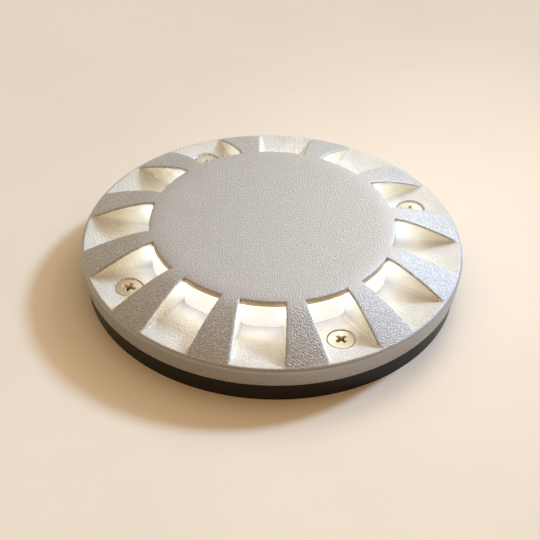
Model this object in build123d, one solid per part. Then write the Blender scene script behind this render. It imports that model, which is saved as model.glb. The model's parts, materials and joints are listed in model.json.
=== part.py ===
"""In-ground well light: a round cast cover with twelve light windows over a black buried housing.

Millimetres. +Z is up. The origin is on the axis, in the plane of the ground that the housing's
flange rests on. The front window faces -Y. The housing stands below the ground, down to its floor.
"""
from build123d import *
from math import atan2, cos, degrees, radians, sin, sqrt
import os

# ---------------------------------------------------------------- driving dimensions
# Cover, a casting. Heights are above the ground.
cover_radius = 70.0            # widest, a little under the rim's top corner
rim_round = 1.1                # from the rim's top corner out to the widest radius
rim_corner_height = 15.7       # the rim's top corner above the ground
cover_top = 26.5               # top of the flat disc
disc_radius = 45.0             # flat disc, and the ring of windows under its edge
disc_thickness = 2.7           # the lip that hangs over each window
crown_rise = 0.7               # how far each rib's top bulges above a straight slope
rim_inset = 0.9                # the rim leans in by this much towards its lower edge
skirt_wall = 3.1               # ring that stands on the housing's flange
skirt_edge = 0.5               # chamfer round the rim's lower edge
cover_floor = 3.0              # thickness of the ledge between the ribs

window_count = 12
window_width = 14.8            # between the ribs, at the floor, beside the lens
mouth_width = 19.9             # between the ribs, at the rim
floor_fall = 0.8               # the floor of each window slopes up by this much to the rim
rib_draft = 4.0                # degrees, each rib's sides lean back
floor_fillet = 0.8             # between a window's floor and its ribs
core_width = 7.0               # hollow cast into the underside of each rib
core_inner = 52.5
core_outer = 62.5
core_roof = 3.6                # metal left above the hollow

# Cover screws, countersunk, in every third window
screw_count = 4
screw_length = 14.0
screw_radius = 2.5
screw_head_radius = 4.9
screw_head_edge = 0.3          # straight edge above the cone
screw_head_chamfer = 0.1
screw_head_sink = 0.2          # below the window's floor
screw_hole_clearance = 0.25
head_seat_gap = 0.05
seat_mouth = 1.0               # the seat is cut this far above the head
screw_boss_radius = 5.7
screw_boss_gap = 0.5           # from the lens's flange to the boss
screw_tip_chamfer = 0.6
recess_width = 1.3             # one slot of the cross
recess_reach = 2.8             # from the middle to a slot's end
recess_point = 0.6             # radius of the recess at its bottom
recess_depth = 2.2
first_screw_turn = 17.0        # where the cross of the first screw stopped
screw_turn_step = 38.0
thread_clearance = 0.05        # radial, between a screw and its insert
insert_radius = 3.5
insert_length = 6.0
insert_fit = 0.02
insert_groove = 0.4            # depth of the groove round the insert
insert_groove_width = 0.6      # its flat, and twice each of its leaning sides
insert_floor_gap = 0.8         # blind hole below the insert

# Lens, a frosted cup under the disc
lens_gap = 0.4                 # radial, to the inner ends of the ribs
lens_top_gap = 0.3
lens_wall = 2.5
lens_flange_reach = 0.6        # beyond the seal's groove
lens_flange_height = 2.7
lens_seat_gap = 0.3            # lens flange above the housing, taken up by the seal
lens_edge_round = 1.2
gasket_gap = 0.9               # radial, round the lens

# Housing, black, buried below its flange
flange_radius = 67.3
flange_height = 7.8
flange_edge = 0.6
flange_skirt = 3.0
flange_plate = 3.0
flange_ribs = 24
flange_rib_width = 2.0
bore_reach = 1.0               # the housing's bore beyond the cover's disc
can_wall = 4.0
shoulder = 4.0                 # floor of the wide chamber
foot_radius = 30.0             # narrow wiring chamber
foot_wall = 3.5
housing_depth = 68.0           # underside of the housing, below the ground
housing_floor = 4.0
foot_round = 2.0
seal_groove_width = 2.8
seal_groove_depth = 2.0
seal_side_gap = 0.2
seal_land = 1.4                # from the housing's bore to the groove
seal_round = 0.6

# Light engine, on four lugs inside the housing
lug_count = 4
lug_width = 11.0
lug_height = 12.0
lug_reach = 6.8                # inwards from the housing's wall
tray_height = 2.0              # top of the lugs
tray_thickness = 3.0
tray_gap = 0.4
tray_screw_radius = 1.5
tray_screw_inset = 3.6         # from the housing's bore to the tray's screws
tray_screw_length = 8.0
pan_head_radius = 2.75
pan_head_height = 2.1
tray_insert_radius = 2.1
tray_insert_length = 5.7
fin_count = 11
fin_thickness = 2.0
fin_edge = 4.5                 # from the outermost fin to the edge of the fins' circle
fin_depth = 10.0
fin_lug_gap = 2.7              # between the fins and the lugs
pad_thickness = 0.5
pad_inset = 0.5                # the pad is smaller than the board by this
board_screw_gap = 1.65         # between the board's edge and the heads of the tray's screws
board_thickness = 1.6
led_inset = 3.6                # from the board's edge to the middle of each LED
led_size = 3.0
led_height = 0.8
led_dome = 1.2
led_dome_height = 0.3
reflector_led_gap = 3.4        # from the LEDs' ring in to the reflector's foot
reflector_foot_width = 5.5
reflector_waist = 0.62         # share of the throat's radius that the flare's curve pulls in to
reflector_waist_rise = 0.3     # share of the height at which it does
reflector_top_radius = 9.0
reflector_height = 13.0
reflector_wall = 1.2
board_screw_inset = 2.8        # out from the reflector's throat
board_screw_count = 3
board_screw_radius = 1.25
board_screw_length = 5.5
board_head_radius = 2.3
board_head_height = 1.5
screw_clearance = 0.2          # radial, of a small screw in its hole
screw_tip_gap = 0.5            # left in a blind hole under a screw's tip
small_screw_chamfer = 0.3
drive_reach = 1.1              # cross in the head of a pan head screw
board_drive_reach = 0.9
drive_width = 0.6
head_shoulder = 0.55           # share of a pan head's height that stands straight
head_crown = 0.72              # share of its radius left at its top

# Driver, hung under the light engine
standoff_height = 6.0
standoff_flats = 5.5
standoff_inset = 4.9           # from the driver board's edge to the middle of each standoff
standoff_boss_radius = 4.0
driver_inset = 0.5             # the driver's board is smaller than the fins' circle by this
driver_thickness = 1.6
driver_screw_radius = 1.5
driver_screw_length = 7.0
capacitor_radius = 5.0
capacitor_height = 14.0
capacitor_round = 0.8
inductor_radius = 8.0
inductor_height = 9.0
inductor_waist = 2.0
inductor_rim = 1.5             # thickness of its end discs
winding_inset = 0.5
rectifier_size = (15.0, 4.0, 11.0)
chip_size = (5.0, 4.0, 1.6)
header_size = (9.0, 14.0, 10.0)
header_wall = 1.2
plug_gap = 0.15
plug_end_gap = 0.5
plug_drop = 5.0                # how far the plug hangs out of its header
plug_lead_depth = 2.0          # of the leads in the plug
lead_radius = 0.9
lead_pitch = 5.0
lamp_lead_inset = 10.5         # from the reflector's throat in to where the lamp leads rise
lamp_lead_reach = 6.0          # over the board to their pads
lamp_lead_rise = 2.5
lamp_lead_bend = 1.9
lead_hole_gap = 0.6
capacitor_place = (-16.0, 6.5)
inductor_y = -20.0
rectifier_y = 21.0
rectifier_chamfer = 2.0
chip_places = ((-2.0, -6.0), (-2.0, 6.0), (24.0, 8.0))

# Wiring chamber
block_size = (14.0, 22.0, 15.0)
block_centre_x = -1.0
block_screw_radius = 2.0
block_entry_radius = 1.9
block_entry_depth = 4.0
block_entry_height = 6.0
block_fixing_radius = 1.25
block_fixing_inset = 3.0
block_fixing_seat = 6.0        # heads of the fixing screws above the chamber's floor
block_chamfer = 1.5
block_lead_gap = 1.0           # between a lead's end and the bottom of its entry
clamp_screw_inset = 3.4
clamp_screw_length = 5.0
clamp_screw_sink = 1.0
clamp_screw_gap = 0.1
clamp_slot_width = 0.7
clamp_slot_depth = 0.8
clamp_turn_x = 25.0            # each clamp screw stops at its own angle
clamp_turn_y = 40.0
lead_bend = 4.0
lead_column_x = 15.0

# Cable gland in the wiring chamber's wall, along -X
gland_rise = 13.0              # above the chamber's floor
gland_boss_gap = 0.5           # between the boss and the underside of the wide chamber
gland_pad_reach = 31.5         # flat outside face of the gland's boss
gland_inner_reach = 23.5       # flat inside face of the boss
gland_boss_radius = 12.5
gland_thread_radius = 8.0
gland_hole_gap = 0.1
gland_washer_thickness = 1.5
gland_hex_flats = 20.0
gland_hex_width = 4.0
gland_collar_radius = 7.6
gland_collar_length = 7.0
gland_nut_flats = 19.0
gland_nut_length = 11.0
gland_nut_gap = 0.6            # between the nut and the gland's hexagon
gland_nut_clearance = 0.06
gland_nut_mouth = 4.2
gland_nut_dome = 2.5
gland_nut_lean = 35.0          # degrees
gland_nut_room = 1.6           # in the nut, past the end of the collar
gland_bore = 6.2
gland_liner = 5.2
gland_seal_bore = 3.0
gland_seal_gap = 0.1
gland_seal_proud = 1.0         # the insert stands out of the collar by this
locknut_flats = 19.0
locknut_width = 4.0
gland_stem_out = 1.0           # thread that stands out past the locknut

cut_past = 4.0                 # a cut runs this far past what it cuts

# ---------------------------------------------------------------- worked-out heights and places
rim_corner_radius = cover_radius - rim_round
disc_underside = cover_top - disc_thickness
ledge_inner = rim_corner_height - floor_fall
ledge_underside = ledge_inner - cover_floor
window_pitch = 360 / window_count
front = -90.0                  # angle of the front window
screw_angles = [front + window_pitch * (1 + 3 * n) for n in range(screw_count)]
ledge_slope = floor_fall / (rim_corner_radius - disc_radius)
can_bore = disc_radius + bore_reach
can_radius = can_bore + can_wall
seal_groove_radius = can_bore + seal_land + seal_groove_width / 2
lens_flange_radius = seal_groove_radius + seal_groove_width / 2 + lens_flange_reach
screw_ring_radius = lens_flange_radius + screw_boss_gap + screw_boss_radius
screw_floor = ledge_inner + ledge_slope * (screw_ring_radius - disc_radius)
screw_head_top = screw_floor - screw_head_sink
screw_tip = screw_head_top - screw_length
lens_radius = disc_radius - lens_gap
lens_top = disc_underside - lens_top_gap
lens_base = flange_height + lens_seat_gap
foot_bore = foot_radius - foot_wall
lug_angles = [45 + 360 / lug_count * n for n in range(lug_count)]
tray_radius = can_bore - tray_gap
tray_screw_ring = can_bore - tray_screw_inset
tray_top = tray_height + tray_thickness
board_radius = tray_screw_ring - pan_head_radius - board_screw_gap
pad_radius = board_radius - pad_inset
led_ring_radius = board_radius - led_inset
reflector_foot_radius = led_ring_radius - reflector_led_gap
reflector_throat_radius = reflector_foot_radius - reflector_foot_width
board_screw_ring = reflector_throat_radius + board_screw_inset
board_base = tray_top + pad_thickness
board_top = board_base + board_thickness
fin_area_radius = can_bore - lug_reach - fin_lug_gap
fin_pitch = 2 * (fin_area_radius - fin_edge) / (fin_count - 1)
lamp_lead_y = reflector_throat_radius - lamp_lead_inset
fin_base = tray_height - fin_depth
driver_radius = fin_area_radius - driver_inset
driver_top = fin_base - standoff_height
driver_base = driver_top - driver_thickness
standoff_offset = (driver_radius - standoff_inset) / sqrt(2)
chamber_floor = housing_floor - housing_depth
gland_height = chamber_floor + gland_rise
can_depth = -(gland_height + gland_boss_radius + gland_boss_gap)
block_top = chamber_floor + block_size[2]
block_face = block_centre_x + block_size[0] / 2
block_fixing_offset = block_size[1] / 2 - block_fixing_inset
entry_level = chamber_floor + block_entry_height


# ---------------------------------------------------------------- helpers
def tube(outer, inner, low, high):
    """Ring about Z between two heights, or a disc where inner is 0."""
    section = Circle(outer) - Circle(inner) if inner else Circle(outer)
    return Pos(0, 0, low) * extrude(section, high - low)


def turned(*points):
    """Solid of revolution about Z from a closed outline of (radius, height) points."""
    return revolve(make_face(Plane.XZ * Polyline(*points, close=True)), Axis.Z)


def block(size, centre):
    return Pos(*centre) * Box(*size)


def hex_bar(flats, length):
    """Hexagonal bar along +Z from the origin."""
    return extrude(RegularPolygon(flats / 2, 6, major_radius=False), length)


def at_angle(angle, radius=0.0, height=0.0):
    return Rot(0, 0, angle) * Pos(radius, 0, height)


def along_gland(start):
    """Frame at the gland's axis, its +Z pointing out of the housing, along -X."""
    return Pos(-start, 0, gland_height) * Rot(0, -90, 0)


def save(shapes, name):
    """One STEP file for a node, holding one solid or a group of separate ones."""
    solids = [s for shape in shapes for s in shape.solids()]
    whole = solids[0] if len(solids) == 1 else Compound(children=solids)
    whole.label = name
    export_step(whole, f"parts/{name}.step")


# ---------------------------------------------------------------- cover
def cover_blank():
    """Disc, crowned slope, rim and skirt, before the windows are cut."""
    slope_run = rim_corner_radius - disc_radius
    slope_drop = cover_top - rim_corner_height
    slope = atan2(slope_drop, slope_run)
    middle = (
        (disc_radius + rim_corner_radius) / 2 + crown_rise * sin(slope),
        (cover_top + rim_corner_height) / 2 + crown_rise * cos(slope),
    )
    skirt_foot_radius = cover_radius - rim_inset
    inner_skirt = skirt_foot_radius - skirt_wall
    rim_side = rim_corner_height - 1.3 * rim_round
    outline = Line((0, disc_underside), (0, cover_top))
    outline += Line((0, cover_top), (disc_radius, cover_top))
    outline += ThreePointArc((disc_radius, cover_top), middle, (rim_corner_radius, rim_corner_height))
    outline += Bezier(
        (rim_corner_radius, rim_corner_height),
        (cover_radius, rim_corner_height - 0.4 * rim_round),
        (cover_radius, rim_side),
    )
    outline += Polyline(
        (cover_radius, rim_side),
        (skirt_foot_radius, flange_height + skirt_edge),
        (skirt_foot_radius - skirt_edge, flange_height),
        (inner_skirt, flange_height),
        (inner_skirt, ledge_underside),
        (disc_radius, ledge_underside),
        (disc_radius, disc_underside),
        (0, disc_underside),
    )
    return revolve(make_face(Plane.XZ * outline), Axis.Z)


def window_cutter():
    """What is cut out between two ribs, on the +X side: a tapering trough with leaning sides."""
    lean = degrees(atan2(floor_fall, rim_corner_radius - disc_radius))
    ledge = Plane(
        origin=(disc_radius, 0, ledge_inner),
        x_dir=(cos(radians(lean)), 0, sin(radians(lean))),
        z_dir=(-sin(radians(lean)), 0, cos(radians(lean))),
    )
    spread = (mouth_width - window_width) / 2 / (rim_corner_radius - disc_radius)
    back, ahead = -cut_past, cover_radius - disc_radius + cut_past
    half_back = window_width / 2 + spread * back
    half_ahead = window_width / 2 + spread * ahead
    plan = make_face(
        Polyline((back, -half_back), (ahead, -half_ahead), (ahead, half_ahead), (back, half_back), close=True)
    )
    trough = extrude(ledge * plan, cover_top - ledge_inner + cut_past, taper=-rib_draft)
    half_height = (cover_top + ledge_inner) / 2
    foot_edges = [e for e in trough.edges() if e.length > ahead and e.center().Z < half_height]
    trough = fillet(foot_edges, floor_fillet)
    return trough - tube(disc_radius, 0, ledge_underside, cover_top + 2 * cut_past)


def crown_height(radius):
    """Height of the straight slope under the crown, at a radius."""
    share = (radius - disc_radius) / (rim_corner_radius - disc_radius)
    return cover_top + share * (rim_corner_height - cover_top)


def rib_core():
    """Hollow in a rib's underside, on the +X side, its roof following the slope."""
    outline = Polyline(
        (core_inner, ledge_underside - cut_past),
        (core_outer, ledge_underside - cut_past),
        (core_outer, crown_height(core_outer) - core_roof),
        (core_inner, crown_height(core_inner) - core_roof),
        close=True,
    )
    return extrude(Plane.XZ * make_face(outline), core_width / 2, both=True)


def make_cover():
    cover = cover_blank()
    for angle in screw_angles:
        cover += at_angle(angle, screw_ring_radius, flange_height) * extrude(
            Circle(screw_boss_radius), ledge_underside - flange_height
        )
    trough = window_cutter()
    core = rib_core()
    for n in range(window_count):
        cover -= Rot(0, 0, front + n * window_pitch) * trough
        cover -= Rot(0, 0, front + (n + 0.5) * window_pitch) * core
    hole = screw_radius + screw_hole_clearance
    mouth_top = screw_head_top + seat_mouth
    cone_mouth = screw_head_radius + head_seat_gap + screw_head_edge + seat_mouth
    seat = turned(
        (0, flange_height - cut_past),
        (hole, flange_height - cut_past),
        (hole, mouth_top - (cone_mouth - hole)),
        (cone_mouth, mouth_top),
        (0, mouth_top),
    )
    for angle in screw_angles:
        cover -= at_angle(angle, screw_ring_radius) * seat
    return cover


def make_cover_screws():
    cone_top = screw_head_top - screw_head_edge
    cone_foot = cone_top - (screw_head_radius - screw_radius)
    screw = turned(
        (0, screw_tip),
        (screw_radius - screw_tip_chamfer, screw_tip),
        (screw_radius, screw_tip + screw_tip_chamfer),
        (screw_radius, cone_foot),
        (screw_head_radius, cone_top),
        (screw_head_radius, screw_head_top - screw_head_chamfer),
        (screw_head_radius - screw_head_chamfer, screw_head_top),
        (0, screw_head_top),
    )
    slot = Box(2 * recess_reach, recess_width, 2 * recess_depth)
    bowl = Cone(recess_point, recess_reach, recess_depth, align=(Align.CENTER, Align.CENTER, Align.MAX))
    screw -= Pos(0, 0, screw_head_top) * ((slot + Rot(0, 0, 90) * slot) & bowl)
    # each head stops at its own angle, as screws do
    return [
        at_angle(angle, screw_ring_radius) * Rot(0, 0, first_screw_turn + screw_turn_step * n) * screw
        for n, angle in enumerate(screw_angles)
    ]


def make_cover_inserts():
    low = flange_height - insert_length
    bore = screw_radius + thread_clearance
    middle = (low + flange_height) / 2
    insert = turned(
        (bore, low),
        (insert_radius, low),
        (insert_radius, middle - insert_groove_width),
        (insert_radius - insert_groove, middle - insert_groove_width / 2),
        (insert_radius - insert_groove, middle + insert_groove_width / 2),
        (insert_radius, middle + insert_groove_width),
        (insert_radius, flange_height),
        (bore, flange_height),
    )
    return [at_angle(angle, screw_ring_radius) * insert for angle in screw_angles]


# ---------------------------------------------------------------- lens and seals
def make_lens():
    inner = lens_radius - lens_wall
    cup = turned(
        (0, lens_top - lens_wall),
        (0, lens_top),
        (lens_radius, lens_top),
        (lens_radius, lens_base + lens_flange_height),
        (lens_flange_radius, lens_base + lens_flange_height),
        (lens_flange_radius, lens_base),
        (inner, lens_base),
        (inner, lens_top - lens_wall),
    )
    top_edge = cup.edges().filter_by(GeomType.CIRCLE).group_by(Axis.Z)[-1]
    return fillet(top_edge, lens_edge_round)


def make_lens_gasket():
    """Flat ring between the lens flange and the underside of the cover."""
    return tube(lens_flange_radius, lens_radius + gasket_gap, lens_base + lens_flange_height, ledge_underside)


def make_housing_seal():
    """Ring in the housing's groove, standing proud by the gap under the lens."""
    half = seal_groove_width / 2 - seal_side_gap
    low = flange_height - seal_groove_depth
    ring = tube(seal_groove_radius + half, seal_groove_radius - half, low, lens_base)
    return fillet(ring.edges().filter_by(GeomType.CIRCLE), seal_round)


# ---------------------------------------------------------------- housing
def make_housing():
    body = turned(
        (0, -housing_depth),
        (foot_radius - foot_round, -housing_depth),
        (foot_radius, foot_round - housing_depth),
        (foot_radius, -can_depth),
        (can_radius - foot_round, -can_depth),
        (can_radius, foot_round - can_depth),
        (can_radius, 0),
        (flange_radius, 0),
        (flange_radius, flange_height - flange_edge),
        (flange_radius - flange_edge, flange_height),
        (can_bore, flange_height),
        (can_bore, shoulder - can_depth),
        (foot_bore, shoulder - can_depth),
        (foot_bore, chamber_floor),
        (0, chamber_floor),
    )
    body += along_gland(gland_inner_reach) * extrude(
        Circle(gland_boss_radius), gland_pad_reach - gland_inner_reach
    )
    # ribbed hollow under the flange
    channel_inner = can_radius + flange_skirt
    channel_outer = flange_radius - flange_skirt
    channel = tube(channel_outer, channel_inner, 0, flange_height - flange_plate)
    rib = block(
        (channel_outer, flange_rib_width, flange_height),
        (channel_outer / 2 + channel_inner / 2, 0, flange_height / 2),
    )
    for n in range(flange_ribs):
        channel -= Rot(0, 0, 360 / flange_ribs * (n + 0.5)) * rib
    for angle in screw_angles:
        channel -= at_angle(angle, screw_ring_radius) * extrude(Circle(screw_boss_radius), flange_height)
    body -= channel
    groove_low = flange_height - seal_groove_depth
    body -= tube(
        seal_groove_radius + seal_groove_width / 2,
        seal_groove_radius - seal_groove_width / 2,
        groove_low,
        flange_height,
    )
    insert_hole = insert_length + insert_floor_gap
    for angle in screw_angles:
        body -= at_angle(angle, screw_ring_radius, flange_height - insert_hole) * extrude(
            Circle(insert_radius + insert_fit), insert_hole
        )
    for angle in lug_angles:
        body += make_lug(angle)
    body -= along_gland(gland_inner_reach) * extrude(
        Circle(gland_thread_radius + gland_hole_gap), gland_pad_reach - gland_inner_reach
    )
    for y in (-1, 1):
        place = Pos(block_centre_x, y * block_fixing_offset, chamber_floor - housing_floor / 2)
        body -= place * extrude(Circle(block_fixing_radius + thread_clearance), housing_floor / 2)
    return body


def make_lug(angle):
    """One lug on the wall for the light engine, with the hole for its insert."""
    inner = can_bore - lug_reach
    root = can_radius - can_wall / 2
    lug = block((root - inner, lug_width, lug_height), ((root + inner) / 2, 0, tray_height - lug_height / 2))
    low = tray_height - tray_insert_length - insert_floor_gap
    hole = Pos(tray_screw_ring, 0, low) * extrude(
        Circle(tray_insert_radius + insert_fit), tray_height - low
    )
    return Rot(0, 0, angle) * (lug - hole)


def make_tray_inserts():
    insert = Pos(tray_screw_ring, 0, tray_height - tray_insert_length) * extrude(
        Circle(tray_insert_radius) - Circle(tray_screw_radius + thread_clearance), tray_insert_length
    )
    return [Rot(0, 0, angle) * insert for angle in lug_angles]


# ---------------------------------------------------------------- light engine
def pan_screw(shank, length, head, height, drive=drive_reach):
    """Pan head screw: head above the origin, shank below it, with a small cross in its head."""
    body = turned(
        (0, -length),
        (shank - small_screw_chamfer, -length),
        (shank, small_screw_chamfer - length),
        (shank, 0),
        (head, 0),
        (head, height * head_shoulder),
        (head * head_crown, height),
        (0, height),
    )
    slot = Box(2 * drive, drive_width, height)
    cross = Pos(0, 0, height) * (slot + Rot(0, 0, 90) * slot)
    return body - cross


def lead_places():
    """The two lamp leads, on the +Y side of the axis, each midway between two fins."""
    return [(-fin_pitch / 2, lamp_lead_y), (fin_pitch / 2, lamp_lead_y)]


def standoff_places():
    return [(x * standoff_offset, y * standoff_offset) for x in (-1, 1) for y in (-1, 1)]


def board_screw_angles():
    return [front + window_pitch / 2 + 360 / board_screw_count * n for n in range(board_screw_count)]


def make_heat_sink():
    sink = tube(tray_radius, 0, tray_height, tray_top)
    fins = []
    for n in range(fin_count):
        x = (n - (fin_count - 1) / 2) * fin_pitch
        reach = 2 * sqrt(fin_area_radius**2 - x**2)
        fins.append(block((fin_thickness, reach, fin_depth), (x, 0, tray_height - fin_depth / 2)))
    for fin in fins:
        sink += fin
    for x, y in standoff_places():
        sink += Pos(x, y, fin_base) * extrude(Circle(standoff_boss_radius), fin_depth)
    for x, y in standoff_places():
        sink -= Pos(x, y, fin_base) * extrude(Circle(tray_screw_radius + thread_clearance), fin_depth)
    for angle in lug_angles:
        sink -= at_angle(angle, tray_screw_ring, tray_height) * extrude(
            Circle(tray_screw_radius + screw_clearance), tray_thickness
        )
    for angle in board_screw_angles():
        sink -= at_angle(angle, board_screw_ring, tray_top - board_screw_length) * extrude(
            Circle(board_screw_radius + thread_clearance), board_screw_length
        )
    for x, y in lead_places():
        sink -= Pos(x, y, fin_base) * extrude(Circle(lead_radius + lead_hole_gap), fin_depth + tray_thickness)
    return sink


def make_tray_screws():
    screw = pan_screw(tray_screw_radius, tray_screw_length, pan_head_radius, pan_head_height)
    return [at_angle(angle, tray_screw_ring, tray_top) * screw for angle in lug_angles]


def drilled_disc(radius, low, high):
    """Disc of the lamp stack, with the holes for its screws and leads."""
    disc = tube(radius, 0, low, high)
    for angle in board_screw_angles():
        disc -= at_angle(angle, board_screw_ring, low) * extrude(
            Circle(board_screw_radius + screw_clearance), high - low
        )
    for x, y in lead_places():
        disc -= Pos(x, y, low) * extrude(Circle(lead_radius + lead_hole_gap), high - low)
    return disc


def make_leds():
    package = extrude(Rectangle(led_size, led_size), led_height)
    dome = Pos(0, 0, led_height) * extrude(Circle(led_dome), led_dome_height)
    led = package + dome
    return [at_angle(front + n * window_pitch, led_ring_radius, board_top) * led for n in range(window_count)]


def make_reflector():
    """Flared cone that throws the light outwards, on a flat foot held by the board's screws."""
    top = board_top + reflector_height
    foot_top = board_top + reflector_wall
    waist_radius = reflector_throat_radius * reflector_waist
    waist_height = board_top + reflector_height * reflector_waist_rise
    inner_top = (reflector_top_radius - reflector_wall, top - reflector_wall)
    inner_foot = (reflector_throat_radius - 1.5 * reflector_wall, board_top)
    outline = Polyline(
        inner_foot,
        (reflector_foot_radius, board_top),
        (reflector_foot_radius, foot_top),
        (reflector_throat_radius, foot_top),
    )
    outline += Bezier(
        (reflector_throat_radius, foot_top), (waist_radius, waist_height), (reflector_top_radius, top)
    )
    outline += Polyline((reflector_top_radius, top), (0, top), (0, top - reflector_wall), inner_top)
    outline += Bezier(inner_top, (waist_radius - reflector_wall, waist_height - reflector_wall), inner_foot)
    cone = revolve(make_face(Plane.XZ * outline), Axis.Z)
    for angle in board_screw_angles():
        cone -= at_angle(angle, board_screw_ring, board_top) * extrude(
            Circle(board_screw_radius + screw_clearance), reflector_wall
        )
    return cone


def make_board_screws():
    grip = board_screw_length + reflector_wall + board_thickness + pad_thickness - screw_tip_gap
    screw = pan_screw(board_screw_radius, grip, board_head_radius, board_head_height, board_drive_reach)
    level = board_top + reflector_wall
    return [at_angle(angle, board_screw_ring, level) * screw for angle in board_screw_angles()]


def make_lamp_leads():
    """Two short leads from the driver up through the tray and down onto the lamp board."""
    leads = []
    rise = board_top + lamp_lead_rise
    for x, y in lead_places():
        pad_y = y - lamp_lead_reach
        path = FilletPolyline(
            (x, y, driver_top), (x, y, rise), (x, pad_y, rise), (x, pad_y, board_top), radius=lamp_lead_bend
        )
        section = Plane(origin=(x, y, driver_top), z_dir=(0, 0, 1)) * Circle(lead_radius)
        leads.append(sweep(section, path=path))
    return leads


# ---------------------------------------------------------------- driver
def make_standoffs():
    post = hex_bar(standoff_flats, standoff_height)
    post -= extrude(Circle(driver_screw_radius + thread_clearance), standoff_height)
    return [Pos(x, y, driver_top) * post for x, y in standoff_places()]


def make_driver_board():
    board = tube(driver_radius, 0, driver_base, driver_top)
    for x, y in standoff_places():
        board -= Pos(x, y, driver_base) * extrude(
            Circle(driver_screw_radius + screw_clearance), driver_thickness
        )
    return board


def make_driver_screws():
    """From below, through the board and each standoff into the heat sink."""
    length = driver_screw_length + standoff_height
    screw = pan_screw(driver_screw_radius, length, pan_head_radius, pan_head_height)
    return [Pos(x, y, driver_base) * Rot(180, 0, 0) * screw for x, y in standoff_places()]


def make_capacitors():
    can = Pos(0, 0, driver_base) * Rot(180, 0, 0) * extrude(Circle(capacitor_radius), capacitor_height)
    foot = can.edges().filter_by(GeomType.CIRCLE).sort_by(Axis.Z)[0]
    can = fillet(foot, capacitor_round)
    x, y = capacitor_place
    return [Pos(x, side * y, 0) * can for side in (-1, 1)]


def make_inductor():
    waist = inductor_radius - inductor_waist
    upper_rim = inductor_height - inductor_rim
    core = turned(
        (0, 0),
        (inductor_radius, 0),
        (inductor_radius, inductor_rim),
        (waist, inductor_rim),
        (waist, upper_rim),
        (inductor_radius, upper_rim),
        (inductor_radius, inductor_height),
        (0, inductor_height),
    )
    winding = tube(inductor_radius - winding_inset, waist, inductor_rim, upper_rim)
    place = Pos(0, inductor_y, driver_base - inductor_height)
    return place * core, place * winding


def make_rectifier():
    body = block(rectifier_size, (0, rectifier_y, driver_base - rectifier_size[2] / 2))
    corner = body.edges().filter_by(Axis.Y).sort_by(Axis.Z)[0]
    return chamfer(corner, rectifier_chamfer)


def make_driver_chips():
    return [block(chip_size, (x, y, driver_base - chip_size[2] / 2)) for x, y in chip_places]


def plug_body_size():
    return tuple(s - 2 * (header_wall + plug_gap) for s in header_size[:2])


def make_driver_header():
    """Socket on the driver's underside, open downwards."""
    size_x, size_y, depth = header_size
    shell = block(header_size, (lead_column_x, 0, driver_base - depth / 2))
    hollow = block(
        (size_x - 2 * header_wall, size_y - 2 * header_wall, depth - header_wall),
        (lead_column_x, 0, driver_base - header_wall - (depth - header_wall) / 2),
    )
    return shell - hollow


def make_supply_plug():
    size_x, size_y = plug_body_size()
    top = driver_base - header_wall - plug_end_gap
    low = driver_base - header_size[2] - plug_drop
    body = block((size_x, size_y, top - low), (lead_column_x, 0, (top + low) / 2))
    for y in (-1, 1):
        body -= Pos(lead_column_x, y * lead_pitch / 2, low) * extrude(Circle(lead_radius), plug_lead_depth)
    return body


def make_supply_leads():
    """Two leads from the plug down into the side of the terminal block."""
    top = driver_base - header_size[2] - plug_drop + plug_lead_depth
    leads = []
    for y in (-1, 1):
        place = y * lead_pitch / 2
        path = FilletPolyline(
            (lead_column_x, place, top),
            (lead_column_x, place, entry_level),
            (block_face - block_entry_depth + block_lead_gap, place, entry_level),
            radius=lead_bend,
        )
        section = Plane(origin=(lead_column_x, place, top), z_dir=(0, 0, -1)) * Circle(lead_radius)
        leads.append(sweep(section, path=path))
    return leads


def make_terminal_block():
    body = block(block_size, (block_centre_x, 0, chamber_floor + block_size[2] / 2))
    top_edges = body.edges().filter_by(Axis.Y).sort_by(Axis.Z)[-2:]
    body = chamfer(top_edges, block_chamfer)
    side = block_size[0] / 2
    for way in (-1, 1):
        for y in (-1, 1):
            place = Pos(block_centre_x + way * side, y * lead_pitch / 2, entry_level)
            body -= place * Rot(0, 90, 0) * Cylinder(block_entry_radius, 2 * block_entry_depth)
            body -= clamp_screw_place(way, y) * extrude(
                Circle(block_screw_radius), -clamp_screw_length - clamp_screw_sink
            )
    for y in (-1, 1):
        place = Pos(block_centre_x, y * block_fixing_offset, chamber_floor)
        body -= place * extrude(Circle(block_fixing_radius + screw_clearance), block_size[2])
        body -= place * Pos(0, 0, block_fixing_seat) * extrude(
            Circle(pan_head_radius + screw_clearance), block_size[2]
        )
    return body


def clamp_screw_place(way, y):
    inset = block_size[0] / 2 - clamp_screw_inset
    return Pos(block_centre_x + way * inset, y * lead_pitch / 2, block_top)


def make_clamp_screws():
    """Slotted screws that clamp the wires, sunk in the top of the terminal block."""
    screw = extrude(Circle(block_screw_radius - clamp_screw_gap), -clamp_screw_length)
    screw -= Box(2 * block_screw_radius, clamp_slot_width, 2 * clamp_slot_depth)
    screws = []
    for way in (-1, 1):
        for y in (-1, 1):
            turn = clamp_turn_x * way + clamp_turn_y * y
            screws.append(clamp_screw_place(way, y) * Pos(0, 0, -clamp_screw_sink) * Rot(0, 0, turn) * screw)
    return screws


def make_block_screws():
    length = block_fixing_seat + housing_floor / 2 - screw_tip_gap
    screw = pan_screw(block_fixing_radius, length, pan_head_radius, pan_head_height)
    level = chamber_floor + block_fixing_seat
    return [Pos(block_centre_x, y * block_fixing_offset, level) * screw for y in (-1, 1)]


# ---------------------------------------------------------------- cable gland
def make_gland_washer():
    section = Circle(gland_hex_flats / 2) - Circle(gland_thread_radius + gland_hole_gap)
    return along_gland(gland_pad_reach) * extrude(section, gland_washer_thickness)


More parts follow.
